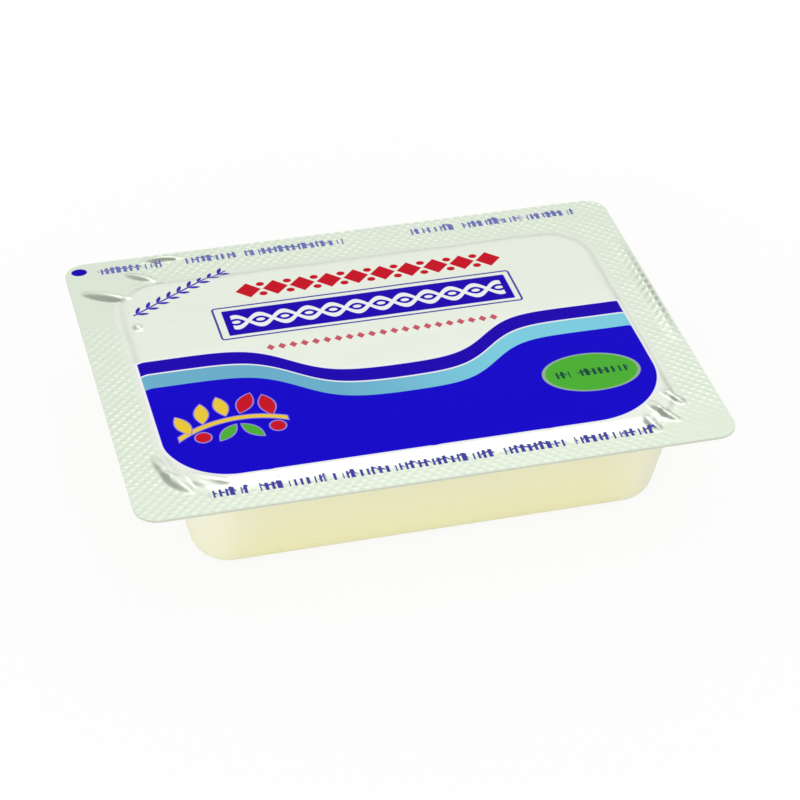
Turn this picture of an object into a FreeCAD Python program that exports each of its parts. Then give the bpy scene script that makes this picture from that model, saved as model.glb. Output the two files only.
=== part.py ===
"""Single-portion butter tub: a shallow drafted plastic cup with a wide seal flange, closed by a foil lid.

The pack is shut and full, so the cup is one solid up to the underside of the foil. The foil is a second
solid: a thin sheet that lies face to face on the flange and rises over the filled middle.

Frame: millimetres, origin under the middle of the flange on the table, +X to the right along the long
side, +Y to the back, +Z up.
"""
import FreeCAD, Part
import math
import os

os.makedirs("parts", exist_ok=True)

# Flange: the flat rim that the foil is sealed to
FLANGE_LENGTH = 57.0
FLANGE_DEPTH = 42.4
FLANGE_THICKNESS = 0.3
FLANGE_CORNER_RADIUS = 2.2

# Seal widths: from the flange's edge to the cup's wall. The cup sits nearer to the front edge,
# so the wider strip at the back is the one to hold while peeling.
SEAL_WIDTH_SIDE = 4.2
SEAL_WIDTH_FRONT = 1.9
SEAL_WIDTH_BACK = 4.3

# Cup
TUB_HEIGHT = 10.2
WALL_DRAFT_DEG = 12.5
MOUTH_CORNER_RADIUS = 5.4
FLOOR_ROUNDING = 2.7
NECK_ROUNDING = 0.6

# Underside: a shallow recess leaves a ring to stand on
FOOT_RING_WIDTH = 1.5
BASE_RECESS_DEPTH = 0.35
BASE_RECESS_SLOPE_WIDTH = 0.6
BASE_RECESS_CORNER_RADIUS = 3.0

# Foil lid: inside the seal it rises over the contents, with a soft shoulder all round
FOIL_THICKNESS = 0.1
PANEL_INSET = 0.3
PANEL_RISE = 0.45
PANEL_SHOULDER = 1.1
SHOULDER_ROUNDING = 1.6

# Positions that follow from the sizes above
FLANGE_UNDERSIDE = TUB_HEIGHT - FLANGE_THICKNESS
FLANGE_BOX = (-FLANGE_LENGTH / 2, FLANGE_LENGTH / 2, -FLANGE_DEPTH / 2, FLANGE_DEPTH / 2)
MOUTH_BOX = (
    FLANGE_BOX[0] + SEAL_WIDTH_SIDE,
    FLANGE_BOX[1] - SEAL_WIDTH_SIDE,
    FLANGE_BOX[2] + SEAL_WIDTH_FRONT,
    FLANGE_BOX[3] - SEAL_WIDTH_BACK,
)
EDGE_TOLERANCE = 1e-4
ROUNDING_LIMIT = 0.9  # a floor rounding stays under this share of the corner radius it runs round


def rounded_outline(box, inset, corner_radius, z):
    """Closed wire at height z: a box (x0, x1, y0, y1) drawn in by inset, its corners drawn in with it."""
    x0, x1, y0, y1 = box[0] + inset, box[1] - inset, box[2] + inset, box[3] - inset
    radius = corner_radius - inset
    slant = radius * (1 - math.sqrt(0.5))
    corners = (
        ((x1 - radius, y0), (x1 - slant, y0 + slant), (x1, y0 + radius)),
        ((x1, y1 - radius), (x1 - slant, y1 - slant), (x1 - radius, y1)),
        ((x0 + radius, y1), (x0 + slant, y1 - slant), (x0, y1 - radius)),
        ((x0, y0 + radius), (x0 + slant, y0 + slant), (x0 + radius, y0)),
    )
    edges = []
    for index, corner in enumerate(corners):
        start, middle, end = (FreeCAD.Vector(x, y, z) for x, y in corner)
        following = corners[(index + 1) % len(corners)][0]
        edges.append(Part.Arc(start, middle, end).toShape())
        edges.append(Part.LineSegment(end, FreeCAD.Vector(*following, z)).toShape())
    return Part.Wire(edges)


def tapered_block(box, corner_radius, z_wide, z_narrow, inset):
    """Solid between the outline at z_wide and the same outline drawn in by inset at z_narrow."""
    wide = rounded_outline(box, 0.0, corner_radius, z_wide)
    narrow = rounded_outline(box, inset, corner_radius, z_narrow)
    return Part.makeLoft([wide, narrow], True, True)


def edges_at(shape, z, box):
    """Edges of the shape that lie at height z and inside the box (x0, x1, y0, y1)."""
    found = []
    for edge in shape.Edges:
        bound = edge.BoundBox
        level = abs(bound.ZMin - z) < EDGE_TOLERANCE and abs(bound.ZMax - z) < EDGE_TOLERANCE
        inside_x = bound.XMin > box[0] - EDGE_TOLERANCE and bound.XMax < box[1] + EDGE_TOLERANCE
        inside_y = bound.YMin > box[2] - EDGE_TOLERANCE and bound.YMax < box[3] + EDGE_TOLERANCE
        if level and inside_x and inside_y:
            found.append(edge)
    return found


def drawn_in(box, inset):
    """The box (x0, x1, y0, y1) made smaller by inset on every side."""
    return (box[0] + inset, box[1] - inset, box[2] + inset, box[3] - inset)


def flange_with_panel():
    """Flange plate with the raised, round-shouldered middle that the foil lies on."""
    outline = rounded_outline(FLANGE_BOX, 0.0, FLANGE_CORNER_RADIUS, FLANGE_UNDERSIDE)
    plate = Part.Face(outline).extrude(FreeCAD.Vector(0, 0, FLANGE_THICKNESS))
    panel_box = drawn_in(MOUTH_BOX, PANEL_INSET)
    panel_corner = MOUTH_CORNER_RADIUS - PANEL_INSET
    panel = tapered_block(panel_box, panel_corner, TUB_HEIGHT, TUB_HEIGHT + PANEL_RISE, PANEL_SHOULDER)
    seat = plate.fuse(panel).removeSplitter()
    shoulder = edges_at(seat, TUB_HEIGHT, panel_box)
    shoulder += edges_at(seat, TUB_HEIGHT + PANEL_RISE, panel_box)
    return seat.makeFillet(SHOULDER_ROUNDING, shoulder)


def cup():
    """Drafted cup from the floor to the flange, with its rounded floor edge and recessed underside."""
    wall_inset = FLANGE_UNDERSIDE * math.tan(math.radians(WALL_DRAFT_DEG))
    body = tapered_block(MOUTH_BOX, MOUTH_CORNER_RADIUS, FLANGE_UNDERSIDE, 0.0, wall_inset)
    floor_box = drawn_in(MOUTH_BOX, wall_inset)
    floor_corner = MOUTH_CORNER_RADIUS - wall_inset
    floor_rounding = min(FLOOR_ROUNDING, ROUNDING_LIMIT * floor_corner)
    body = body.makeFillet(floor_rounding, edges_at(body, 0.0, floor_box))

    # The floor rounding meets the table inside the floor's outline, and the foot ring starts there
    rounding_reach = floor_rounding * math.tan(math.radians(90 - WALL_DRAFT_DEG) / 2)
    recess_box = drawn_in(floor_box, rounding_reach + FOOT_RING_WIDTH)
    recess = tapered_block(
        recess_box, BASE_RECESS_CORNER_RADIUS, 0.0, BASE_RECESS_DEPTH, BASE_RECESS_SLOPE_WIDTH
    )
    return body.cut(recess)


def make_tub(seat):
    """Cup and flange as one moulding, rounded where the wall runs into the flange."""
    tub = cup().fuse(seat).removeSplitter()
    neck = edges_at(tub, FLANGE_UNDERSIDE, MOUTH_BOX)
    return tub.makeFillet(NECK_ROUNDING, neck)


def make_foil_lid(seat):
    """Foil of even thickness, pressed over the flange and the raised middle."""
    lifted = seat.translated(FreeCAD.Vector(0, 0, FOIL_THICKNESS))
    return lifted.cut(seat).removeSplitter()


def export(name, shape):
    solids = shape.Solids
    print(name, "solids", len(solids), "valid", shape.isValid(), "volume", round(shape.Volume, 3),
          "faces", len(shape.Faces), "box", shape.BoundBox)
    solids[0].exportStep(f"parts/{name}.step")


seat = flange_with_panel()
export("tub", make_tub(seat))
export("foil_lid", make_foil_lid(seat))
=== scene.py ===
# %% [markdown]
# # A single-portion butter tub
#
# The object is a small cream-coloured plastic cup with a wide flat flange, closed by a printed foil lid.
# The foil is knurled where a hot plate pressed it onto the flange, and smooth and a little slack over the
# filled middle. This notebook keeps the sizes of the measured model and makes two detailed pieces around it:
# the cup, and the foil with its relief and its print.

# %% Load the measured model
import math

import bmesh
import bpy
from mathutils import Matrix, Vector


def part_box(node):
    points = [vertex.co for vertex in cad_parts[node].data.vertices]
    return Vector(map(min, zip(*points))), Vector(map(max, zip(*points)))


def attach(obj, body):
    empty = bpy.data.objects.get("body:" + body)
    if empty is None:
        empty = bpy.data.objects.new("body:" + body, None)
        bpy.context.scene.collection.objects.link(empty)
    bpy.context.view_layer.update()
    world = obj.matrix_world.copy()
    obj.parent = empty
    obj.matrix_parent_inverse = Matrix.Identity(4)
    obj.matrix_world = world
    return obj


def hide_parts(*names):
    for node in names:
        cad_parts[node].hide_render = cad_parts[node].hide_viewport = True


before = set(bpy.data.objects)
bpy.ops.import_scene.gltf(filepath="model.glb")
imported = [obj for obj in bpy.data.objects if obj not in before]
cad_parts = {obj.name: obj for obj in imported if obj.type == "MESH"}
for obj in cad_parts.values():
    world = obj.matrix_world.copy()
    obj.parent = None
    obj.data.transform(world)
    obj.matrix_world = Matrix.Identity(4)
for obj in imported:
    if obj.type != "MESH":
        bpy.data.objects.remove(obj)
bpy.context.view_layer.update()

MM = 0.001

# %% [markdown]
# ## Where things are
#
# Every place on the pack follows from a few sizes. The flange is as large as the whole model seen from above.
# The mouth of the cup lies inside it, nearer to the front edge than to the back, because such packs are cut
# from a long web and keep a wider strip to hold at the back. The sizes are written in millimetres, as a
# packaging drawing has them, and turned into metres when a mesh is made.

# %% Sizes of the pack in millimetres
lid_low, lid_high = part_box("foil_lid")
FLANGE_X = lid_high.x / MM
FLANGE_Y = lid_high.y / MM
FLANGE_CORNER = 2.2
FLANGE_TOP = lid_low.z / MM
FLANGE_THICKNESS = 0.3
FLANGE_UNDERSIDE = FLANGE_TOP - FLANGE_THICKNESS
FOIL_THICKNESS = 0.1

SEAL_SIDE, SEAL_FRONT, SEAL_BACK = 4.2, 1.9, 4.3
MOUTH_LEFT, MOUTH_RIGHT = -FLANGE_X + SEAL_SIDE, FLANGE_X - SEAL_SIDE
MOUTH_FRONT, MOUTH_BACK = -FLANGE_Y + SEAL_FRONT, FLANGE_Y - SEAL_BACK
MOUTH_CORNER = 5.4
WALL_DRAFT_DEGREES = 12.5
WALL_DRAFT = math.tan(math.radians(WALL_DRAFT_DEGREES))
print("flange half sizes", round(FLANGE_X, 2), round(FLANGE_Y, 2), "top at", round(FLANGE_TOP, 2))
print("mouth", MOUTH_LEFT, MOUTH_RIGHT, MOUTH_FRONT, MOUTH_BACK)

# %% [markdown]
# ## Node maths as Python
#
# Both the relief of the foil and its print are sums on x and y. Built by hand, each sum is a chain of Math
# nodes that nobody can read. Here one small class wraps a socket, and Python's own operators add the nodes,
# so a formula in this file looks like a formula. The same class serves shader trees and geometry trees.

# %% A node tree that is written as expressions
class Graph:
    """A node tree. Every node in it comes from the method called node."""

    def __init__(self, tree):
        self.tree = tree
        tree.nodes.clear()

    def node(self, kind, settings=None, inputs=None, output=0):
        """Adds a node: settings first, then the values or links of its sockets. Returns one output.

        A list of links goes to one socket that takes several. A node without outputs is returned itself.
        """
        made = self.tree.nodes.new(kind)
        for name, value in (settings or {}).items():
            setattr(made, name, value)
        for key, value in (inputs or {}).items():
            for term in value if isinstance(value, list) else [value]:
                if isinstance(term, Value):
                    self.tree.links.new(term.socket, made.inputs[key])
                else:
                    made.inputs[key].default_value = term
        return Value(self, made.outputs[output]) if made.outputs else made

    def vector(self, x=0.0, y=0.0, z=0.0):
        return self.node("ShaderNodeCombineXYZ", inputs={0: x, 1: y, 2: z})

    def split(self, vector):
        """The x, y and z of a vector."""
        x = self.node("ShaderNodeSeparateXYZ", inputs={0: vector})
        return x, x.sibling(1), x.sibling(2)

    def noise(self, place, scale, detail):
        """Soft random values from 0 to 1, with the given number of waves to one unit of length."""
        return self.node("ShaderNodeTexNoise", inputs={"Vector": place, "Scale": scale, "Detail": detail})


class Value:
    """One output socket. Arithmetic on it adds Math nodes."""

    def __init__(self, graph, socket):
        self.graph = graph
        self.socket = socket

    def sibling(self, output):
        """Another output of the node that this value comes from."""
        return Value(self.graph, self.socket.node.outputs[output])

    def maths(self, operation, *others):
        terms = dict(enumerate((self, *others)))
        return self.graph.node("ShaderNodeMath", {"operation": operation}, terms)

    def swapped(self, operation, first):
        return self.graph.node("ShaderNodeMath", {"operation": operation}, {0: first, 1: self})

    def __add__(self, other):
        return self.maths("ADD", other)

    def __sub__(self, other):
        return self.maths("SUBTRACT", other)

    def __mul__(self, other):
        return self.maths("MULTIPLY", other)

    def __truediv__(self, other):
        return self.maths("DIVIDE", other)

    def __rsub__(self, first):
        return self.swapped("SUBTRACT", first)

    def __rtruediv__(self, first):
        return self.swapped("DIVIDE", first)

    def __neg__(self):
        return self * -1.0

    def __abs__(self):
        return self.maths("ABSOLUTE")

    __radd__ = __add__
    __rmul__ = __mul__

    def least(self, other):
        return self.maths("MINIMUM", other)

    def most(self, other):
        return self.maths("MAXIMUM", other)

    def root(self):
        return self.maths("SQRT")

    def sine(self):
        return self.maths("SINE")

    def centred(self, period):
        """Distance to the middle of the current repeat, from -period/2 to period/2."""
        return self.maths("WRAP", period / 2, -period / 2)

    def ramp(self, start, end, low=0.0, high=1.0, kind="LINEAR"):
        """low before start, high after end, and a straight or smooth passage between them."""
        ends = {0: self, 1: start, 2: end, 3: low, 4: high}
        return self.graph.node("ShaderNodeMapRange", {"interpolation_type": kind}, ends)

    def step(self, start, end):
        """A smooth passage from 0 to 1."""
        return self.ramp(start, end, kind="SMOOTHSTEP")


print("a value can", [name for name in vars(Value) if not name.startswith("_")])

# %% [markdown]
# ## The shape of the foil
#
# A real lid starts as flat film. The sealing tool presses a diamond knurl into it all round, which pulls the
# middle tight, but never quite: the film rises over a soft shoulder inside the seal and folds into small
# creases at the corners. Modelling each diamond by hand would take thousands of faces with no order, and a
# bump map would vanish at the edge. A height over a regular grid suits it better: Geometry Nodes evaluates
# one formula at every point, and every size in it stays a named input.

# %% A geometry tree with named inputs
def geometry_graph(name, sizes):
    """A new geometry tree with a Geometry output and one float input for each named size."""
    tree = bpy.data.node_groups.new(name, "GeometryNodeTree")
    tree.interface.new_socket("Geometry", in_out="OUTPUT", socket_type="NodeSocketGeometry")
    for label, size in sizes.items():
        socket = tree.interface.new_socket(label, in_out="INPUT", socket_type="NodeSocketFloat")
        socket.default_value = size
    tree.interface.new_socket("Material", in_out="INPUT", socket_type="NodeSocketMaterial")
    graph = Graph(tree)
    entry = graph.node("NodeGroupInput").socket.node
    return graph, {socket.name: Value(graph, socket) for socket in entry.outputs if socket.name}


def run_geometry(graph, result, piece_name, sizes, material):
    """Runs a finished tree on an empty object and returns the plain mesh object that it makes."""
    graph.node("NodeGroupOutput", inputs={"Geometry": result})
    carrier = bpy.data.objects.new(piece_name + "_carrier", bpy.data.meshes.new(piece_name + "_carrier"))
    bpy.context.scene.collection.objects.link(carrier)
    modifier = carrier.modifiers.new("Shape", "NODES")
    modifier.node_group = graph.tree
    for item in graph.tree.interface.items_tree:
        if item.in_out == "INPUT":
            modifier[item.identifier] = material if item.name == "Material" else sizes[item.name]
    evaluated = carrier.evaluated_get(bpy.context.evaluated_depsgraph_get())
    mesh = bpy.data.meshes.new_from_object(evaluated)
    mesh.name = piece_name
    bpy.data.objects.remove(carrier)
    piece = bpy.data.objects.new(piece_name, mesh)
    bpy.context.scene.collection.objects.link(piece)
    print(piece_name, "faces", len(mesh.polygons), "points", len(mesh.vertices))
    return piece


print("geometry helpers ready")

# %% [markdown]
# ### Relief of the foil
#
# The height is a sum of parts that each have a cause: the shoulder where the film leaves the seal, the crown
# and the waves of the slack middle, the knurl, a beaded line along its inner edge, and folds. A crease is a
# rounded hump or hollow, long one way and narrow the other. The list gives the place of each one, how long
# and wide it is, which way it runs and how far it goes up or down. On the right side the film also rises
# towards its edge in one long roll.

# %% Sizes of the foil's relief
KNURL_PITCH = 1.06
MESH_SPACING = KNURL_PITCH / 6
FOIL_SIZES = {
    "Half length": FLANGE_X,
    "Half depth": FLANGE_Y,
    "Corner radius": FLANGE_CORNER,
    "Underside": FLANGE_TOP,
    "Thickness": FOIL_THICKNESS,
    "Spacing": MESH_SPACING,
    "Panel rise": 0.32,
    "Shoulder width": 1.6,
    "Shoulder waver": 0.4,
    "Crown": 0.14,
    "Crown reach": 16.0,
    "Slack": 0.06,
    "Seal fade": 0.35,
    "Knurl pitch": KNURL_PITCH,
    "Knurl depth": 0.085,
    "Edge bead": 0.03,
    "Bead place": 0.15,
    "Bead width": 0.3,
}
THINNEST = 0.03
PANEL_LOW = (MOUTH_LEFT - 0.7, MOUTH_FRONT + 0.9)
PANEL_HIGH = (MOUTH_RIGHT + 0.7, MOUTH_BACK - 0.4)
PANEL_CORNER = 5.2

# Middle in x and y, half length, half width, direction in degrees, height
CREASES = [
    (-25.1, 14.75, 2.7, 0.80, -27, 0.56),
    (-21.2, 17.4, 1.9, 0.56, -34, 0.38),
    (-18.6, 20.25, 2.2, 0.50, -2, 0.42),
    (-23.1, 8.4, 0.6, 0.50, -85, 0.28),
    (-24.9, -13.9, 2.2, 0.60, -76, 0.28),
    (-23.9, -16.3, 2.1, 0.85, -56, 0.42),
    (-22.6, -17.3, 2.2, 0.50, -46, -0.12),
    (-21.2, -16.4, 2.4, 0.50, -30, 0.12),
    (24.1, -14.4, 1.5, 0.55, -51, 0.35),
    (21.8, -15.6, 1.1, 0.54, -70, 0.25),
    (22.6, -16.8, 1.6, 0.52, -47, 0.31),
    (20.8, -17.9, 1.3, 0.60, -67, 0.36),
    (-15.4, -17.3, 1.2, 0.60, 98, -0.06),
    (0.1, -17.3, 1.2, 0.60, 84, -0.08),
    (11.2, -17.4, 1.2, 0.60, 94, -0.06),
]
# Rolled edge of the film on the right side: rise, crest and foot in x, middle and half length in y, height
ROLLED_EDGE = (26.7, 27.7, 28.4, 4.0, 9.5, 0.30)
print("grid spacing", round(MESH_SPACING, 3), "mm,", len(CREASES), "creases")

# %% Creases and the rolled edge
def crease(x, y, shape):
    """Long rounded swelling or hollow: smooth along the crest, and steepest where it meets the film."""
    centre_x, centre_y, half_length, half_width, degrees, height = shape
    turn = math.radians(degrees)
    right, up = x - centre_x, y - centre_y
    along = (right * math.cos(turn) + up * math.sin(turn)) / half_length
    across = (up * math.cos(turn) - right * math.sin(turn)) / half_width
    return (1.0 - along * along - across * across).most(0.0) * height


def rolled_edge(x, y):
    """A long soft rise towards the right edge of the film, and a short fall beyond its crest."""
    rise, crest, foot, centre_y, half_length, height = ROLLED_EDGE
    share = (y - centre_y) / half_length
    return (x.step(rise, crest) - x.step(crest, foot)) * (1.0 - share * share).most(0.0) * height


print("highest crease", max(shape[-1] for shape in CREASES), "mm")

# %% [markdown]
# ### Film and knurl
#
# How far a point lies inside the seal decides most of its height, so the relief starts from the distance to
# a box with round corners. The knurl is a square grid of small pyramids turned by 45 degrees. A real plate
# never presses evenly, so the knurl is fainter in the back left corner, along the front, on folds, and in
# soft patches that come from a slow noise. Two more noises vary the shoulder's width and the slack film.

# %% Film over the filled middle
SHOULDER_WAVES, SLACK_WAVES = 0.22, 0.11  # to one millimetre
SLACK_STARTS, SLACK_FULL = 0.5, 5.0  # millimetres inside the seal


def distance_to_box(x, y, low, high, corner):
    """Signed distance to a box with round corners: below zero inside. low and high are (x, y) corners."""
    across = abs(x - (low[0] + high[0]) / 2) - ((high[0] - low[0]) / 2 - corner)
    along = abs(y - (low[1] + high[1]) / 2) - ((high[1] - low[1]) / 2 - corner)
    far_x, far_y = across.most(0.0), along.most(0.0)
    outside = (far_x * far_x + far_y * far_y).root()
    return outside + across.most(along).least(0.0) - corner


def film_height(graph, place, inward, size):
    """The free film: a shoulder of uneven width, a low crown, and a little slack."""
    waver = (graph.noise(place, SHOULDER_WAVES, 1.0) - 0.5) * size["Shoulder waver"]
    shoulder = (inward + waver).ramp(0.0, size["Shoulder width"], kind="SMOOTHERSTEP")
    crown = inward.ramp(0.0, size["Crown reach"], kind="SMOOTHERSTEP")
    slack = (graph.noise(place, SLACK_WAVES, 2.0) - 0.5) * inward.ramp(SLACK_STARTS, SLACK_FULL)
    return shoulder * size["Panel rise"] + crown * size["Crown"] + slack * size["Slack"]


print("the slack is full", SLACK_FULL, "mm inside the seal")

# %% Knurl of the seal
PRESSURE_WAVES, PATCH_PRESSURE = 0.35, 0.55
# The back left corner is pressed least: the pressure is full again to the right in x and to the front in y
BACK_X, BACK_Y, BACK_PRESSURE = (-23.0, -20.0), (8.0, 12.0), 0.15
# Along the front a share of the pressure is lost, and at its right end the most
FRONT_X, FRONT_DISTANCE, FRONT_LOSS, LEFT_PART_OF_LOSS = (19.0, 23.0), (15.0, 18.0), 0.8, 0.55
# A fold loses this share of the knurl for each millimetre of its height, up to a limit
FOLD_LOSS_PER_MM, FOLD_LOSS_MOST = 6.0, 0.8
BEAD_BETWEEN_TIPS, BEAD_FALL = 0.4, 3.0
ROLL_BETWEEN_TIPS, ROLL_ON_TIPS = 0.8, 1.2


def knurl_diamonds(x, y, pitch):
    """The knurl's pyramids: 1 on each tip, and 0 in the grooves between them."""
    one_way = ((x + y) / pitch).maths("FRACT") - 0.5
    other_way = ((x - y) / pitch).maths("FRACT") - 0.5
    return 1.0 - abs(one_way).most(abs(other_way)) * 2.0


def plate_pressure(graph, x, y, place, folds):
    """How much of the knurl was pressed: less in the back left corner, along the front and on folds."""
    patches = graph.noise(place, PRESSURE_WAVES, 1.0).ramp(0.3, 0.6, PATCH_PRESSURE, 1.0)
    back_left = (x.step(*BACK_X) - y.step(*BACK_Y) + 1.0).least(1.0).most(BACK_PRESSURE)
    front = 1.0 - x.step(*FRONT_X).most(LEFT_PART_OF_LOSS) * (-y).step(*FRONT_DISTANCE) * FRONT_LOSS
    unfolded = 1.0 - (abs(folds) * FOLD_LOSS_PER_MM).least(FOLD_LOSS_MOST)
    return patches * back_left * front * unfolded


def seal_bead(inward, diamond, size):
    """A thin beaded line just inside the seal, where the plate's edge squeezed the film up."""
    share = (inward - size["Bead place"]) / size["Bead width"]
    return size["Edge bead"] * (diamond + BEAD_BETWEEN_TIPS) / (share * share + 1.0).maths("POWER", BEAD_FALL)


def foil_height(graph, x, y, size):
    """Height of the foil's upper face over the flange, in millimetres."""
    inward = -distance_to_box(x, y, PANEL_LOW, PANEL_HIGH, PANEL_CORNER)
    place = graph.vector(x, y)
    seal = inward.ramp(-size["Seal fade"], size["Seal fade"], 1.0, 0.0)
    diamond = knurl_diamonds(x, y, size["Knurl pitch"])
    folds = sum(crease(x, y, shape) for shape in CREASES)
    knurl = diamond * size["Knurl depth"] * seal * plate_pressure(graph, x, y, place, folds)
    roll = rolled_edge(x, y) * (diamond * (ROLL_ON_TIPS - ROLL_BETWEEN_TIPS) + ROLL_BETWEEN_TIPS)
    smooth_film = (1.0 - seal) * (size["Thickness"] - THINNEST) / 2.0
    film = film_height(graph, place, inward, size)
    return film + knurl + seal_bead(inward, diamond, size) + smooth_film + folds + roll + THINNEST


print("knurl pitch", KNURL_PITCH, "mm, depth", FOIL_SIZES["Knurl depth"], "mm")

# %% [markdown]
# ### From a grid to a closed sheet
#
# The grid is square and the flange has round corners, so each point near a corner is moved by the rule that
# maps a square onto a circle. The foil is also a solid: its outer edges go straight down, and one face
# closes them below. A field such as Position reads the geometry that it is used on: on the grid it gives the
# flat points, and on the rim it gives the points where they have got to.

# %% Build the foil's tree
ONE_FACE = 1.5  # an outer edge has one face and an inner edge has two
FOIL_WELD = 0.004


def round_corner(run, other_run, straight, other_straight, radius):
    """Moves a grid point so that the square grid fits a flange with round corners."""
    past = (abs(run) - straight).most(0.0) / radius
    other_past = (abs(other_run) - other_straight).most(0.0) / radius
    bent = past * (1.0 - other_past * other_past * 0.5).root() * radius
    return run.maths("SIGN") * (abs(run).least(straight) + bent)


def foil_top(graph, size):
    """The upper face: a flat grid that is fitted to the flange and lifted to the foil's height."""
    half_x, half_y, radius = size["Half length"], size["Half depth"], size["Corner radius"]
    columns = (half_x * 2.0 / size["Spacing"]).maths("CEIL") + 1.0
    rows = (half_y * 2.0 / size["Spacing"]).maths("CEIL") + 1.0
    grid = graph.node("GeometryNodeMeshGrid", inputs={0: half_x * 2.0, 1: half_y * 2.0, 2: columns, 3: rows})
    flat_x, flat_y, _ = graph.split(graph.node("GeometryNodeInputPosition"))
    x = round_corner(flat_x, flat_y, half_x - radius, half_y - radius, radius)
    y = round_corner(flat_y, flat_x, half_y - radius, half_x - radius, radius)
    top = foil_height(graph, x, y, size).most(THINNEST) + size["Underside"]
    lifted = {"Geometry": grid, "Position": graph.vector(x, y, top)}
    return graph.node("GeometryNodeSetPosition", inputs=lifted)


def close_below(graph, sheet, size):
    """The sheet with a rim that goes down to the foil's underside, and a face that closes it there."""
    outer = graph.node("GeometryNodeInputMeshEdgeNeighbors").maths("LESS_THAN", ONE_FACE)
    drawn = {"Mesh": sheet, "Selection": outer, "Offset Scale": 0.0}
    rim = graph.node("GeometryNodeExtrudeMesh", {"mode": "EDGES"}, drawn)
    lower_edge = rim.sibling("Top")
    rim_x, rim_y, _ = graph.split(graph.node("GeometryNodeInputPosition"))
    low = graph.vector(rim_x, rim_y, size["Underside"])
    lowered = {"Geometry": rim, "Selection": lower_edge, "Position": low}
    rim = graph.node("GeometryNodeSetPosition", inputs=lowered)

    # Fill Curve leaves its face at height zero, looking up, so the face is flipped and lifted
    outline = graph.node("GeometryNodeMeshToCurve", inputs={"Mesh": rim, "Selection": lower_edge})
    underside = graph.node("GeometryNodeFillCurve", {"mode": "NGONS"}, {"Curve": outline})
    underside = graph.node("GeometryNodeFlipFaces", inputs={"Mesh": underside})
    lift = {"Geometry": underside, "Translation": graph.vector(z=size["Underside"])}
    underside = graph.node("GeometryNodeTransform", inputs=lift)
    closed = graph.node("GeometryNodeJoinGeometry", inputs={0: [underside, rim]})
    return graph.node("GeometryNodeMergeByDistance", inputs={"Geometry": closed, "Distance": FOIL_WELD})


def foil_tree():
    """The whole tree of the foil and its last output, in metres."""
    graph, size = geometry_graph("Sealed foil", FOIL_SIZES)
    foil = close_below(graph, foil_top(graph, size), size)
    foil = graph.node("GeometryNodeTransform", inputs={"Geometry": foil, "Scale": (MM, MM, MM)})
    foil = graph.node("GeometryNodeRealizeInstances", inputs={"Geometry": foil})
    finished = {"Geometry": foil, "Material": size["Material"]}
    return graph, graph.node("GeometryNodeSetMaterial", inputs=finished)


foil_graph, foil_result = foil_tree()
print("foil tree has", len(foil_graph.tree.nodes), "nodes and", len(FOIL_SIZES), "named sizes")

# %% Build the foil lid
SHARP_DEGREES = 40


def shade(piece):
    """Smooth faces, with the edges kept sharp where two faces meet at a large angle."""
    piece.data.shade_smooth()
    piece.data.set_sharp_from_angle(angle=math.radians(SHARP_DEGREES))


def report_closed(piece):
    """Prints how many edges don't have exactly two faces: none on a closed solid."""
    shape = bmesh.new()
    shape.from_mesh(piece.data)
    loose = sum(1 for edge in shape.edges if len(edge.link_faces) != 2)
    volume = shape.calc_volume(signed=True) / MM ** 3
    shape.free()
    print(piece.name, "open edges", loose, "volume", round(volume, 2), "mm3")


foil_material = bpy.data.materials.new("printed_foil")
foil = run_geometry(foil_graph, foil_result, "sealed_foil", FOIL_SIZES, foil_material)
shade(foil)
report_closed(foil)

# %% [markdown]
# ## The cup
#
# The cup is drawn from warm sheet into a mould, so its walls lean outwards and every corner is round. It
# could be a box with bevels, but then the corner radius would stay the same all the way down, and the real
# one shrinks. A profile of (distance inwards, height) pairs gives it directly: each pair is one ring, and a
# ring further in has a smaller corner. The flange is one more set of rings with its own outline.

# %% Rings of the cup
CORNER_STEPS, SIDE_STEPS = 14, 26
SMALLEST_CORNER = 0.35


def ring(low, high, corner, z):
    """Points round a box with round corners, anticlockwise, with the same count for every box."""
    centres = (
        (high[0] - corner, low[1] + corner, -90),
        (high[0] - corner, high[1] - corner, 0),
        (low[0] + corner, high[1] - corner, 90),
        (low[0] + corner, low[1] + corner, 180),
    )
    points = []
    for index, (x, y, start) in enumerate(centres):
        for step in range(CORNER_STEPS + 1):
            angle = math.radians(start + 90 * step / CORNER_STEPS)
            points.append(Vector((x + corner * math.cos(angle), y + corner * math.sin(angle), z)))
        next_x, next_y, next_start = centres[(index + 1) % 4]
        angle = math.radians(next_start)
        target = Vector((next_x + corner * math.cos(angle), next_y + corner * math.sin(angle), z))
        begin = points[-1]
        points += [begin.lerp(target, step / SIDE_STEPS) for step in range(1, SIDE_STEPS)]
    return points


def mouth_ring(inset, z):
    """Ring of the cup: the mouth's outline drawn in by inset."""
    low = (MOUTH_LEFT + inset, MOUTH_FRONT + inset)
    high = (MOUTH_RIGHT - inset, MOUTH_BACK - inset)
    return ring(low, high, max(MOUTH_CORNER - inset, SMALLEST_CORNER), z)


def flange_ring(inset, z):
    """Ring of the flange: its outline drawn in by inset."""
    low, high = (-FLANGE_X + inset, -FLANGE_Y + inset), (FLANGE_X - inset, FLANGE_Y - inset)
    return ring(low, high, FLANGE_CORNER - inset, z)


print("each ring has", len(flange_ring(0.0, FLANGE_TOP)), "points")

# %% Profile of the cup
FLOOR_ROUNDING = 2.7
NECK_ROUNDING = 0.6
FOOT_RING = 1.5
RECESS_DEPTH = 0.35
EDGE_ROUNDING = 0.1
FLAT_BELOW, FLAT_ABOVE = 0.6, 2.0  # how far in the flange's rings go
FLOOR_STEPS, WALL_STEPS, NECK_STEPS = 9, 11, 6

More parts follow.
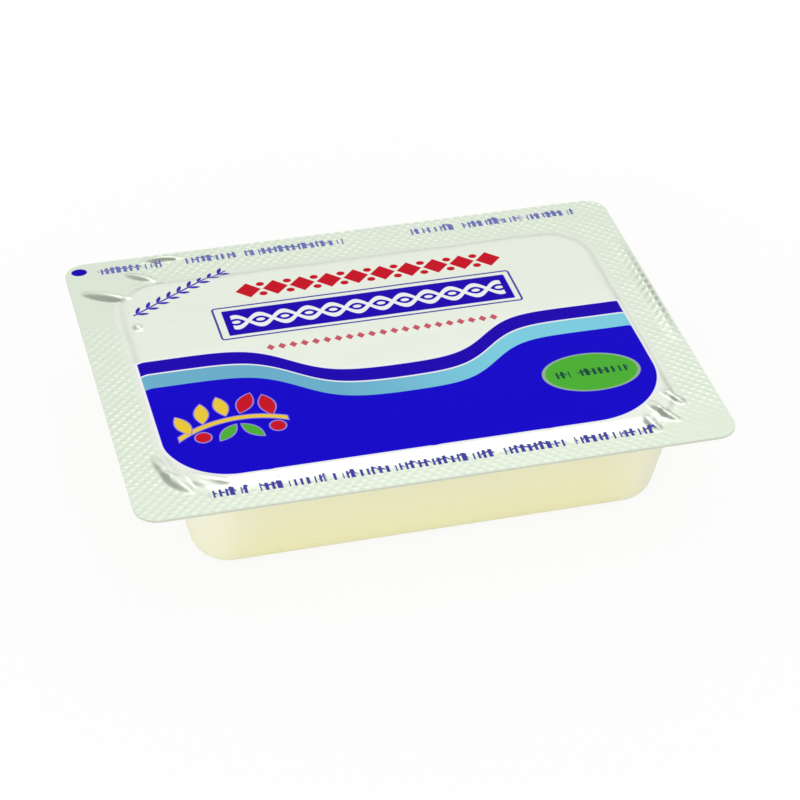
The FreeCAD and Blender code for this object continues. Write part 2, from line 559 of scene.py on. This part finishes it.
# Recess under the floor, as (distance inwards from the foot ring, height), from the middle outwards
RECESS_PROFILE = [(8.0, RECESS_DEPTH), (0.75, RECESS_DEPTH), (0.55, RECESS_DEPTH - 0.03)]
RECESS_PROFILE += [(0.1, 0.04), (-0.1, 0.0)]
FOOT_RING_SUPPORT = 0.2  # a ring just inside the foot ring's outer edge keeps its face flat


def floor_and_wall():
    """(inset, height) pairs from the middle of the base, round the floor's edge and up the wall."""
    lean = math.atan(WALL_DRAFT)
    turn = math.pi / 2 - lean
    flat_start = FLANGE_UNDERSIDE * WALL_DRAFT + FLOOR_ROUNDING * math.tan(turn / 2)
    pairs = [(flat_start + FOOT_RING + inward, z) for inward, z in RECESS_PROFILE]
    pairs.append((flat_start + FOOT_RING_SUPPORT, 0.0))
    for step in range(FLOOR_STEPS + 1):
        angle = turn * step / FLOOR_STEPS
        pairs.append((flat_start - FLOOR_ROUNDING * math.sin(angle), FLOOR_ROUNDING * (1 - math.cos(angle))))
    wall_start, wall_end = pairs[-1][1], FLANGE_UNDERSIDE - NECK_ROUNDING
    for step in range(1, WALL_STEPS + 1):
        z = wall_start + (wall_end - wall_start) * step / WALL_STEPS
        pairs.append(((FLANGE_UNDERSIDE - z) * WALL_DRAFT, z))
    return pairs


def neck():
    """The small rounding where the wall runs out into the flange."""
    centre_inset = NECK_ROUNDING * WALL_DRAFT - NECK_ROUNDING
    centre_z = FLANGE_UNDERSIDE - NECK_ROUNDING
    pairs = []
    for step in range(1, NECK_STEPS + 1):
        angle = math.pi / 2 * step / NECK_STEPS
        inset, z = centre_inset + NECK_ROUNDING * math.cos(angle), centre_z + NECK_ROUNDING * math.sin(angle)
        pairs.append((inset, z))
    return pairs


def flange():
    """The flange's profile: out along its underside, round its edge, and a little way in on top."""
    return [
        (FLAT_BELOW, FLANGE_UNDERSIDE),
        (EDGE_ROUNDING, FLANGE_UNDERSIDE),
        (0.0, FLANGE_UNDERSIDE + EDGE_ROUNDING),
        (0.0, FLANGE_TOP - EDGE_ROUNDING / 2),
        (EDGE_ROUNDING / 2, FLANGE_TOP),
        (FLAT_ABOVE, FLANGE_TOP),
    ]


print("profile of the cup has", len(floor_and_wall()), "rings below the neck")

# %% Skin the rings
CUP_WELD = 0.002


def skin(name, rings):
    """Closed mesh through a list of rings, with a face on the first and on the last."""
    shape = bmesh.new()
    rows = [[shape.verts.new(point * MM) for point in points] for points in rings]
    count = len(rings[0])
    for lower, upper in zip(rows, rows[1:]):
        for index in range(count):
            following = (index + 1) % count
            shape.faces.new((lower[index], lower[following], upper[following], upper[index]))
    shape.faces.new(list(reversed(rows[0])))
    shape.faces.new(rows[-1])
    bmesh.ops.remove_doubles(shape, verts=shape.verts, dist=CUP_WELD * MM)
    bmesh.ops.recalc_face_normals(shape, faces=shape.faces)
    mesh = bpy.data.meshes.new(name)
    shape.to_mesh(mesh)
    shape.free()
    piece = bpy.data.objects.new(name, mesh)
    bpy.context.scene.collection.objects.link(piece)
    print(name, "faces", len(mesh.polygons))
    return piece


cup_rings = [mouth_ring(inset, z) for inset, z in floor_and_wall() + neck()]
cup_rings += [flange_ring(inset, z) for inset, z in flange()]
cup = skin("cup", cup_rings)
shade(cup)
report_closed(cup)

# %% [markdown]
# ## The plastic
#
# The cup is a thin milky plastic with butter right behind it. Where the butter touches the wall it looks warm
# and yellow, and near the flange and in the corners, where the plastic is thicker, it looks whiter. The
# corners also carry painted light, made whiter for the light that shines through them. The lower wall is
# painted lighter against the shade near the floor. The rim is greyer where the foil shows through, with
# painted shade of the flange's edge and underside.
# True glass and scattering over so thin a wall would cost much time for little, so the colour follows the
# height, with a little unevenness, and a touch of scattering below the surface softens the shading.

# %% Helpers for materials
def srgb(red, green, blue):
    """Screen colour from 0 to 255 as the linear colour that a shader takes."""
    def linear(channel):
        share = channel / 255
        return share / 12.92 if share <= 0.04045 else ((share + 0.055) / 1.055) ** 2.4
    return (linear(red), linear(green), linear(blue), 1.0)


def shader_graph(material):
    """An empty shader tree for the material, and the place of each point in metres."""
    material.use_nodes = True
    graph = Graph(material.node_tree)
    return graph, graph.node("ShaderNodeTexCoord", output="Object")


def mixed(graph, share, first, second):
    """Colour that goes from first to second as share goes from 0 to 1."""
    inputs = {0: share, 6: first, 7: second}
    return graph.node("ShaderNodeMix", {"data_type": "RGBA", "clamp_factor": True}, inputs, output=2)


def finish_surface(graph, surface):
    graph.node("ShaderNodeOutputMaterial", inputs={"Surface": surface})


print("white is", srgb(255, 255, 255))

# %% Plastic of the cup
# The lower colour is yellower for the butter behind the wall, and lighter as painted light against the shade
# near the floor
BUTTER_AND_PAINTED_LIGHT_BELOW, BUTTER_ABOVE = srgb(244, 240, 191), srgb(237, 235, 201)
THICK_CORNER_AND_PAINTED_LIGHT = srgb(247, 247, 232)
FOILED_RIM_AND_PAINTED_SHADE = srgb(206, 211, 194)
LEVEL_LOW, LEVEL_HIGH, LEVEL_WAVER = 0.5, FLANGE_TOP - 1.0, 3.0
CORNER_REACH, CORNER_WHITE_AND_PAINTED_LIGHT_SHARE = 9.0, 0.75
RIM_LOW, RIM_HIGH = FLANGE_UNDERSIDE - 0.15, FLANGE_UNDERSIDE + 0.02
CLOUDS_PER_METRE, GRAINS_PER_METRE = 140.0, 900.0


def cup_plastic():
    material = bpy.data.materials.new("cup_plastic")
    graph, place = shader_graph(material)
    x, y, z = (value / MM for value in graph.split(place))
    cloud = graph.noise(place, CLOUDS_PER_METRE, 2.0)
    level = (z + (cloud - 0.5) * LEVEL_WAVER).ramp(LEVEL_LOW, LEVEL_HIGH)
    # Towards the bottom the colour is partly butter and partly painted light
    colour = mixed(graph, level, BUTTER_AND_PAINTED_LIGHT_BELOW, BUTTER_ABOVE)

    # Thicker corners painted whiter, partly painted light shining through them, and a rim painted greyer,
    # partly foil showing through and partly painted shade of the flange's edge and underside
    middle = (MOUTH_FRONT + MOUTH_BACK) / 2
    corner_x = abs(x) - (MOUTH_RIGHT - CORNER_REACH)
    corner_y = abs(y - middle) - (MOUTH_BACK - middle - CORNER_REACH)
    # The corner mask is partly thicker plastic and partly painted light shining through the corners
    corner = corner_x.least(corner_y).step(0.0, CORNER_REACH) * CORNER_WHITE_AND_PAINTED_LIGHT_SHARE
    colour = mixed(graph, corner, colour, THICK_CORNER_AND_PAINTED_LIGHT)
    # The rim colour is partly foil seen through the plastic and partly painted shade on the flange's edge and
    # underside
    colour = mixed(graph, z.step(RIM_LOW, RIM_HIGH), colour, FOILED_RIM_AND_PAINTED_SHADE)
    grain = graph.noise(place, GRAINS_PER_METRE, 3.0)
    bump = graph.node("ShaderNodeBump", inputs={"Strength": 0.08, "Distance": 0.02 * MM, "Height": grain})
    surface = graph.node("ShaderNodeBsdfPrincipled", inputs={
        "Base Color": colour,
        "Roughness": grain.ramp(0.3, 0.7, 0.36, 0.46),
        "Normal": bump,
        "Subsurface Weight": 0.25,
        "Subsurface Radius": (1.0, 0.8, 0.5),
        "Subsurface Scale": 1.0 * MM,
        "Specular IOR Level": 0.3,
    })
    finish_surface(graph, surface)
    print("plastic material has", len(graph.tree.nodes), "nodes")
    return material


cup.data.materials.append(cup_plastic())

# %% [markdown]
# ## The foil and its print
#
# The lid is bare aluminium with a few flat inks on it. The print could be an image, but an image blurs when
# the camera comes near and fixes one layout. Drawn as distances, every edge stays sharp: each shape is a
# formula for how far a point is from its outline, and a mask is that distance cut off softly. Ink hides the
# metal, so the same masks that mix the colours also switch the metal off and make the surface duller.

# %% Helpers for printed shapes
PRINT_EDGE = 0.03


def mask(distance):
    """1 inside a shape and 0 outside, from its signed distance in millimetres."""
    return distance.ramp(-PRINT_EDGE, PRINT_EDGE, 1.0, 0.0)


def turned(x, y, centre, degrees):
    """Coordinates measured from a centre along a turned pair of axes."""
    angle = math.radians(degrees)
    right, up = x - centre[0], y - centre[1]
    return right * math.cos(angle) + up * math.sin(angle), up * math.cos(angle) - right * math.sin(angle)


def ellipse(x, y, centre, half_width, half_height):
    """Distance to an ellipse, near enough for a soft edge."""
    across, along = (x - centre[0]) / half_width, (y - centre[1]) / half_height
    return ((across * across + along * along).root() - 1.0) * min(half_width, half_height)


def leaf(x, y, centre, degrees, half_length, half_width):
    """Distance to a pointed leaf that lies along the given direction."""
    along, across = turned(x, y, centre, degrees)
    share = along / half_length
    return abs(across) - (1.0 - share * share) * half_width


def arc_line(x, y, centre, radius, half_width):
    """Distance to a thin round line."""
    right, up = x - centre[0], y - centre[1]
    return abs((right * right + up * up).root() - radius) - half_width


def within(value, low, high):
    """Distance to the strip between low and high."""
    return abs(value - (low + high) / 2) - (high - low) / 2


print("print helpers ready")

# %% [markdown]
# ### Field and waves
#
# A blue field fills the front of the panel, with a light and a dark band over it that follow the same wave.
# The wave is flat at both sides and in the middle, so it is a level plus two smooth steps, each made by a
# hyperbolic tangent. All the bands are then strips of one value: how far a point lies from the wave.

# %% Inks and the waves
BLUE = srgb(20, 0, 206)
DEEP_BLUE = srgb(30, 0, 180)
SKY_LEFT, SKY_RIGHT = srgb(111, 178, 208), srgb(129, 210, 229)
WHITE = srgb(245, 245, 245)
RED, PALE_RED = srgb(203, 20, 40), srgb(205, 92, 105)
GREEN, BADGE_RIM, BADGE_PRINT = srgb(78, 180, 55), srgb(150, 180, 150), srgb(30, 76, 66)
YELLOW, SPRIG_RIM = srgb(240, 205, 60), srgb(160, 140, 225)
SMALL_BLUE, PALE_BLUE, LAUREL_BLUE = srgb(72, 70, 165), srgb(112, 118, 186), srgb(60, 45, 180)
# The bare metal on the panel and on the seal, as linear colours; the seal's is darker, a painted shade for
# the light that its knurl scatters
BARE_FOIL = (0.89, 0.95, 0.835, 1.0)
SEAL_FOIL_PAINTED_SHADE = (0.80, 0.88, 0.745, 1.0)

# The printed field: its three straight edges, and its corner radius at the front left and front right
FIELD_LEFT, FIELD_RIGHT, FIELD_FRONT = -24.25, 24.0, -16.6
FIELD_CORNER_LEFT, FIELD_CORNER_RIGHT = 6.2, 8.0
BEYOND = 40.0  # further out than any edge of the lid

# The wave: its mean level, then (middle, width, half height) of its fall and of its climb
WAVE_LEVEL, WAVE_FALL, WAVE_CLIMB = 2.27, (-9.95, 3.84, 3.09), (9.37, 3.31, 2.88)
DEEP_BAND, SKY_BAND, FIELD_BELOW = (-2.0, 0.0), (-4.35, -2.2), -4.3
WHITE_EDGE = 0.28
SKY_TURNS = (-6.0, 10.0)  # the light band goes from its left to its right colour between these in x


def smooth_step(x, shape):
    """A step by a hyperbolic tangent, from minus to plus its half height."""
    middle, width, half_height = shape
    return ((x - middle) / width).maths("TANH") * half_height


def wave_layers(graph, x, y):
    """White edge, dark band, blue field and light band."""
    field = distance_to_box(x, y, (FIELD_LEFT, FIELD_FRONT), (BEYOND, BEYOND), FIELD_CORNER_LEFT)
    right_side = distance_to_box(x, y, (-BEYOND, FIELD_FRONT), (FIELD_RIGHT, BEYOND), FIELD_CORNER_RIGHT)
    field = field.most(right_side)
    under = y - (WAVE_LEVEL - smooth_step(x, WAVE_FALL) + smooth_step(x, WAVE_CLIMB))
    sky = mixed(graph, x.ramp(*SKY_TURNS), SKY_LEFT, SKY_RIGHT)
    return [
        (mask(field.most(under) - WHITE_EDGE), WHITE),
        (mask(field.most(within(under, *DEEP_BAND))), DEEP_BLUE),
        (mask(field.most(under - FIELD_BELOW)), BLUE),
        (mask(field.most(within(under, *SKY_BAND))), sky),
    ]


wave_start = WAVE_LEVEL + WAVE_FALL[2] - WAVE_CLIMB[2]
print("at the left the wave lies", round(wave_start, 2), "mm behind the middle of the lid")

# %% [markdown]
# ### Small print and the badge
#
# A real lid has rows of small print, and words on its badge. Only their tone is wanted here: a row of upright
# strokes, unevenly spaced and joined here and there, has that tone and says nothing. One noise makes the
# strokes uneven, and two slow sines cut the row into words.

# %% Small print and the badge
STROKE_PITCH, STROKE_HALF_WIDTH, STROKE_HALF_HEIGHT, LINK_HALF_HEIGHT = 0.62, 0.14, 0.50, 0.11
STROKE_NOISE = 0.9
STROKE_SHIFT, STROKE_WIDENING, STROKE_RISE, LINK_RISE = 1.1, 0.35, 0.5, 2.4
WORD_WAVE, SYLLABLE_WAVE, WORD_SHARE = 0.83, 1.9, 1.25
BADGE_CENTRE, BADGE_HALF_WIDTH, BADGE_HALF_HEIGHT = (17.7, -9.0), 4.55, 2.85
BADGE_RIM_WIDTH, BADGE_PRINT_ENDS = 0.2, (14.0, 21.4)


def small_print(graph, x, y, level, ends):
    """A line of loose upright strokes that can't be read, with the place and tone of small print."""
    uneven = graph.noise(graph.vector(x * STROKE_NOISE, level), 1.0, 2.0) - 0.5
    width = uneven * STROKE_WIDENING + STROKE_HALF_WIDTH
    strokes = abs((x + uneven * STROKE_SHIFT).centred(STROKE_PITCH)) - width
    rise = uneven * STROKE_RISE
    upright = strokes.most(abs(y - level - rise) - STROKE_HALF_HEIGHT - rise)
    link = abs(y - level - uneven * LINK_RISE) - LINK_HALF_HEIGHT
    words = (x * WORD_WAVE + level).sine() + (x * SYLLABLE_WAVE).sine() * 0.6 + WORD_SHARE
    return upright.least(link.most(-uneven)).most(words * -0.4).most(within(x, *ends))


def badge_layers(graph, x, y):
    """A green oval with a pale rim and a line of small print."""
    badge = ellipse(x, y, BADGE_CENTRE, BADGE_HALF_WIDTH, BADGE_HALF_HEIGHT)
    words = small_print(graph, x, y, BADGE_CENTRE[1], BADGE_PRINT_ENDS)
    return [(mask(badge - BADGE_RIM_WIDTH), BADGE_RIM), (mask(badge), GREEN), (mask(words), BADGE_PRINT)]


print("badge", 2 * BADGE_HALF_WIDTH, "by", 2 * BADGE_HALF_HEIGHT, "mm")

# %% [markdown]
# ### Sprig, lozenges and woven bar
#
# The decoration is made of shapes that any printer's sheet of ornaments has: a branch of bright leaves with
# berries, a row of lozenges with dots between them, and a bar with two crossing waves. Each is one small
# formula, and what repeats wraps its coordinate instead of being drawn again.

# %% Sprig
BRANCH_CENTRE, BRANCH_RADIUS, BRANCH_HALF_WIDTH = (-16.6, -18.6), 10.2, 0.24
BRANCH_ENDS, BRANCH_LOWEST = (-22.6, -12.2), -11.2
BERRY_RADIUS, SPRIG_RIM_WIDTH = 0.72, 0.13
BERRIES = [(-20.4, -10.6), (-13.3, -10.4)]

# Leaves: colour, half length, half width, and the middle and direction of each one
LEAVES = [
    (YELLOW, 1.5, 0.62, [((-21.9, -8.4), 108), ((-19.9, -7.0), 84), ((-17.9, -6.3), 96)]),
    (RED, 1.6, 0.72, [((-15.6, -6.3), 62), ((-13.6, -7.0), 96)]),
    (GREEN, 1.4, 0.55, [((-18.0, -10.4), 48), ((-15.7, -10.5), 128)]),
]


def sprig_layers(x, y):
    """A branch of bright leaves with round berries, each with a pale rim."""
    branch = arc_line(x, y, BRANCH_CENTRE, BRANCH_RADIUS, BRANCH_HALF_WIDTH)
    shapes = [(branch.most(within(x, *BRANCH_ENDS)).most(BRANCH_LOWEST - y), YELLOW)]
    for colour, half_length, half_width, places in LEAVES:
        for centre, degrees in places:
            shapes.append((leaf(x, y, centre, degrees, half_length, half_width), colour))
    for centre in BERRIES:
        shapes.append((ellipse(x, y, centre, BERRY_RADIUS, BERRY_RADIUS), RED))
    layers = []
    for distance, colour in shapes:
        layers.append((mask(distance - SPRIG_RIM_WIDTH), SPRIG_RIM))
        layers.append((mask(distance), colour))
    return layers


print("sprig has", sum(len(places) for *_, places in LEAVES), "leaves and", len(BERRIES), "berries")

# %% Lozenges and the woven bar
LOZENGE_CENTRE, LOZENGE_PITCH, LOZENGE_HALF = (1.15, 12.25), 2.76, 1.3
LOZENGES_PER_SIDE = 5
DOT_PLACE, DOT_HALF_WIDTH, DOT_HALF_HEIGHT = 0.86, 0.42, 0.36
FRAME_LOW, FRAME_HIGH, FRAME_HALF_WIDTH = (-15.5, 4.25), (14.85, 9.7), 0.11
BAR_LOW, BAR_HIGH = (-14.7, 4.75), (14.25, 9.1)
FRAME_CORNER, BAR_CORNER, BAR_MARGIN = 0.3, 0.15, 0.7
WEAVE_START, WEAVE_LEVEL, WEAVE_PERIOD, WEAVE_SWING, WEAVE_HALF_WIDTH = -0.2, 6.93, 4.87, 0.95, 0.34
EYE_HALF_WIDTH, EYE_HALF_HEIGHT = 0.42, 0.26
FINE_CENTRE, FINE_PITCH, FINE_HALF_WIDTH, FINE_HALF_HEIGHT = (-0.05, 1.95), 1.12, 0.42, 0.52
FINE_HALF_LENGTH = 10.5 * FINE_PITCH


def lozenge_row(x, y):
    """A row of solid lozenges with a pair of dots in each gap."""
    along, across = x - LOZENGE_CENTRE[0], y - LOZENGE_CENTRE[1]
    cell = (along + LOZENGE_PITCH / 2).centred(LOZENGE_PITCH)
    lozenge = (abs(cell) / LOZENGE_HALF + abs(across) / LOZENGE_HALF - 1.0) * 0.9
    lozenge = lozenge.most(abs(along) - LOZENGES_PER_SIDE * LOZENGE_PITCH)
    gap = along.centred(LOZENGE_PITCH)
    dots = ellipse(gap, abs(across), (0.0, DOT_PLACE), DOT_HALF_WIDTH, DOT_HALF_HEIGHT)
    return lozenge.least(dots.most(abs(along) - (LOZENGES_PER_SIDE - 0.4) * LOZENGE_PITCH))


def woven_line(x, y, bar):
    """Two crossing waves with an eye in each loop, cut off inside the bar."""
    along, across = x - WEAVE_START, y - WEAVE_LEVEL
    swing = (along * (2 * math.pi / WEAVE_PERIOD)).sine() * WEAVE_SWING
    waves = abs(across - swing).least(abs(across + swing)) - WEAVE_HALF_WIDTH
    loop = (along + WEAVE_PERIOD / 4).centred(WEAVE_PERIOD / 2)
    eyes = ellipse(loop, across, (0.0, 0.0), EYE_HALF_WIDTH, EYE_HALF_HEIGHT)
    return waves.least(eyes).most(bar + BAR_MARGIN)


def fine_row(x, y):
    """A fine row of very small lozenges."""
    along, across = x - FINE_CENTRE[0], y - FINE_CENTRE[1]
    lozenge = abs(along.centred(FINE_PITCH)) / FINE_HALF_WIDTH + abs(across) / FINE_HALF_HEIGHT - 1.0
    return (lozenge * 0.3).most(abs(along) - FINE_HALF_LENGTH)


def title_layers(x, y):
    """The row of lozenges, and under it the framed bar with its woven line and the fine row."""
    frame_line = abs(distance_to_box(x, y, FRAME_LOW, FRAME_HIGH, FRAME_CORNER)) - FRAME_HALF_WIDTH
    bar = distance_to_box(x, y, BAR_LOW, BAR_HIGH, BAR_CORNER)
    return [
        (mask(lozenge_row(x, y)), RED),
        (mask(frame_line), SMALL_BLUE),
        (mask(bar), DEEP_BLUE),
        (mask(woven_line(x, y, bar)), WHITE),
        (mask(fine_row(x, y)), PALE_RED),
    ]


print("row of", 2 * LOZENGES_PER_SIDE, "lozenges over a bar", round(BAR_HIGH[0] - BAR_LOW[0], 2), "mm long")

# %% Print on the seal
BACK_PRINT_LEVEL, FRONT_PRINT_LEVEL = 19.4, -18.65
BACK_PRINT_ENDS = [(-25.2, -18.7), (-16.2, 0.2), (7.4, 25.0)]
FRONT_PRINT_ENDS = (-21.5, 21.0)
ROUND_MARK_CENTRE, ROUND_MARK_HALF_WIDTH, ROUND_MARK_HALF_HEIGHT = (-27.0, 19.8), 0.8, 0.62
LAUREL_CENTRE, LAUREL_DEGREES, LAUREL_HALF_LENGTH, LAUREL_PITCH = (-17.9, 13.6), 31, 6.1, 1.35
STEM_HALF_WIDTH = 0.10
LAUREL_LEAF = {"centre": (0.0, 0.42), "degrees": 34, "half_length": 0.62, "half_width": 0.2}


def laurel(x, y):
    """A straight stem with small leaves in pairs, printed askew in the corner."""
    along, across = turned(x, y, LAUREL_CENTRE, LAUREL_DEGREES)
    stem = abs(across) - STEM_HALF_WIDTH
    leaves = leaf((along - 0.2).centred(LAUREL_PITCH), abs(across), **LAUREL_LEAF)
    return stem.least(leaves).most(abs(along) - LAUREL_HALF_LENGTH)


def seal_layers(graph, x, y):
    """Rows of small print at the back and the front, a round mark and the laurel."""
    layers = [(mask(small_print(graph, x, y, BACK_PRINT_LEVEL, ends)), PALE_BLUE) for ends in BACK_PRINT_ENDS]
    layers.append((mask(small_print(graph, x, y, FRONT_PRINT_LEVEL, FRONT_PRINT_ENDS)), SMALL_BLUE))
    mark = ellipse(x, y, ROUND_MARK_CENTRE, ROUND_MARK_HALF_WIDTH, ROUND_MARK_HALF_HEIGHT)
    layers.append((mask(mark), DEEP_BLUE))
    layers.append((mask(laurel(x, y)), LAUREL_BLUE))
    return layers


print("small print in", len(BACK_PRINT_ENDS), "lines at the back and one at the front")

# %% Metal and inks together
SEAL_EDGE = 0.4
ROLLING_MARKS = (60.0, 900.0, 60.0)


def print_layers(graph, x, y):
    """The inks in the order they are printed: (mask, colour) pairs."""
    layers = wave_layers(graph, x, y) + badge_layers(graph, x, y) + sprig_layers(x, y)
    return layers + title_layers(x, y) + seal_layers(graph, x, y)


def finish_foil(material):
    """Bare metal with fine rolling marks, and under each ink a duller, unmetallic face."""
    graph, place = shader_graph(material)
    x, y = (value / MM for value in graph.split(place)[:2])
    seal = distance_to_box(x, y, PANEL_LOW, PANEL_HIGH, PANEL_CORNER).ramp(-SEAL_EDGE, SEAL_EDGE)
    # The seal takes the darker metal: painted shade for the light that the knurl scatters
    colour, ink = mixed(graph, seal, BARE_FOIL, SEAL_FOIL_PAINTED_SHADE), None
    for share, layer_colour in print_layers(graph, x, y):
        colour = mixed(graph, share, colour, layer_colour)
        ink = share if ink is None else ink.most(share)
    stretched = graph.node("ShaderNodeMapping", inputs={"Vector": place, "Scale": ROLLING_MARKS})
    rolled = graph.noise(stretched, 1.0, 3.0)
    bump = graph.node("ShaderNodeBump", inputs={"Strength": 0.15, "Distance": 0.01 * MM, "Height": rolled})
    surface = graph.node("ShaderNodeBsdfPrincipled", inputs={
        "Base Color": colour,
        "Metallic": 1.0 - ink,
        "Roughness": rolled.ramp(0.3, 0.7, 0.22, 0.28) + seal * 0.08 + ink * 0.2,
        "Normal": bump,
        "Specular IOR Level": 0.02,
    })
    finish_surface(graph, surface)
    print("foil material has", len(graph.tree.nodes), "nodes")


finish_foil(foil_material)

# %% [markdown]
# ## Room, lights and camera
#
# The pack stands on a plain white floor in soft light. Foil shows what is around it, so the surroundings
# matter as much as the lamps. Seen from the front, the flat film mirrors the room behind the pack, which is
# bright. The room is darker high on the viewer's side and far out to both sides, and those are the parts
# that a crease mirrors, which gives it its dark line. The floor and the sky show as white to the camera, and
# the floor still takes the shadow.

# %% Floor
FLOOR_HALF = 1.5
CARD = (0.95, 0.95, 0.95, 1.0)
# Close to the pack a part of the floor is lit card even to the camera, so that its shadow shows
SHADOW_NEAR, SHADOW_FAR, WHITE_NEAR = 0.03, 0.09, 0.88


def stage_floor():
    """White floor. What a direct look or a reflection sees is mostly plain white, the rest is lit card."""
    mesh = bpy.data.meshes.new("floor")
    corners = [(x * FLOOR_HALF, y * FLOOR_HALF, 0) for x, y in ((-1, -1), (1, -1), (1, 1), (-1, 1))]
    mesh.from_pydata(corners, [], [(0, 1, 2, 3)])
    floor = bpy.data.objects.new("floor", mesh)
    bpy.context.scene.collection.objects.link(floor)
    material = bpy.data.materials.new("floor_white")
    graph, place = shader_graph(material)
    card = graph.node("ShaderNodeBsdfDiffuse", inputs={"Color": CARD})
    white = graph.node("ShaderNodeEmission", inputs={"Strength": 1.0})
    direct = graph.node("ShaderNodeLightPath", output="Is Camera Ray")
    mirrored = direct.sibling("Is Glossy Ray")
    away = graph.node("ShaderNodeVectorMath", {"operation": "LENGTH"}, {0: place}, output=1)
    share = direct.most(mirrored) * away.ramp(SHADOW_NEAR, SHADOW_FAR, WHITE_NEAR, 1.0, kind="SMOOTHSTEP")
    finish_surface(graph, graph.node("ShaderNodeMixShader", inputs={0: share, 1: card, 2: white}))
    mesh.materials.append(material)


stage_floor()
print("floor half size", FLOOR_HALF, "m")

# %% Surroundings
EVEN_LIGHT = 0.83
WHITE_LIGHT = (1.0, 1.0, 1.0, 1.0)
ROOM_LEVEL = 0.87
VIEWER_SIDE_DARK, LEFT_DARK, RIGHT_DARK, HORIZON_DARK = 0.65, 0.55, 0.6, 0.14


def reflected_room(direction):
    """How bright the room is in each direction, as a mirror sees it.

    The direction's x, y and z go from -1 to 1, and each step is where a darker part begins and is full.
    """
    x, y, z = direction
    viewer_side = (-y).step(-0.30, 0.15) * z.step(0.40, 0.65) * VIEWER_SIDE_DARK
    left = (-x).step(0.2, 0.55) * y.step(-0.05, 0.20) * LEFT_DARK
    right = x.step(0.58, 0.66) * y.step(0.40, 0.65) * RIGHT_DARK
    horizon = (1.0 - z.step(0.10, 0.50)) * HORIZON_DARK
    return (1.0 - viewer_side) * (1.0 - left.most(right)) * (1.0 - horizon) * ROOM_LEVEL


def surroundings():
    """White to the camera, an even soft light to the object, and a shaped room in its reflections."""
    world = bpy.data.worlds.new("studio")
    bpy.context.scene.world = world
    world.use_nodes = True
    graph = Graph(world.node_tree)
    direction = graph.split(graph.node("ShaderNodeTexCoord", output="Generated"))
    glossy = graph.node("ShaderNodeLightPath", output="Is Glossy Ray")
    camera = glossy.sibling("Is Camera Ray")
    strength = EVEN_LIGHT + glossy * (reflected_room(direction) - EVEN_LIGHT)
    strength = strength + camera * (1.0 - strength)
    light = graph.node("ShaderNodeBackground", inputs={"Color": WHITE_LIGHT, "Strength": strength})
    graph.node("ShaderNodeOutputWorld", inputs={"Surface": light})


surroundings()
print("even light", EVEN_LIGHT, "and reflected room", ROOM_LEVEL)

# %% Lamps
LAMP_TARGET = (0.0, 0.0, 0.008)


def lamp(name, place, size, power):
    """A square lamp that faces the pack. Places and sizes are in metres, power in watts."""
    data = bpy.data.lights.new(name, "AREA")
    data.energy, data.size = power, size
    light = bpy.data.objects.new(name, data)
    light.location = place
    light.rotation_euler = (Vector(LAMP_TARGET) - Vector(place)).to_track_quat("-Z", "Y").to_euler()
    bpy.context.scene.collection.objects.link(light)
    print(name, "at", place, "power", power)


lamp("overhead", (0.11, 0.16, 0.41), size=0.30, power=0.16)
lamp("left_front", (-0.34, -0.42, 0.16), size=0.30, power=0.6)

# %% Camera
VIEW_AZIMUTH, VIEW_ELEVATION, VIEW_ROLL = map(math.radians, (-15.46, 36.21, 1.18))
VIEW_DISTANCE = 266.65 * MM
VIEW_RIGHT, VIEW_UP = -1.27 * MM, -3.13 * MM
LENS_MM, SENSOR_MM = 120.96, 36.0
NEAREST, FURTHEST = 0.01, 10.0


def make_camera():
    """A long lens that looks down on the pack from the front left, tilted a little."""
    level, height = math.cos(VIEW_ELEVATION), math.sin(VIEW_ELEVATION)
    back = Vector((math.sin(VIEW_AZIMUTH) * level, -math.cos(VIEW_AZIMUTH) * level, height))
    flat_right = Vector((math.cos(VIEW_AZIMUTH), math.sin(VIEW_AZIMUTH), 0.0))
    flat_up = back.cross(flat_right)
    right = flat_right * math.cos(VIEW_ROLL) + flat_up * math.sin(VIEW_ROLL)
    up = flat_up * math.cos(VIEW_ROLL) - flat_right * math.sin(VIEW_ROLL)
    data = bpy.data.cameras.new("camera")
    data.lens, data.sensor_width = LENS_MM, SENSOR_MM
    data.clip_start, data.clip_end = NEAREST, FURTHEST
    camera = bpy.data.objects.new("camera", data)
    place = back * VIEW_DISTANCE - right * VIEW_RIGHT - up * VIEW_UP
    bpy.context.scene.collection.objects.link(camera)
    camera.matrix_world = Matrix.Translation(place) @ Matrix((right, up, back)).transposed().to_4x4()
    bpy.context.scene.camera = camera
    print("camera at", tuple(round(v, 4) for v in place))


make_camera()
bpy.context.scene.view_settings.view_transform = "Standard"

# %% [markdown]
# ## Hand the pieces over
#
# The two detailed pieces take the place of the two measured ones and move with the same body.

# %% Fit the pieces to the frame
for piece, node, slot in ((cup, "tub", "tub_plastic"), (foil, "foil_lid", "lid_foil")):
    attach(piece, "root")
    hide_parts(node)
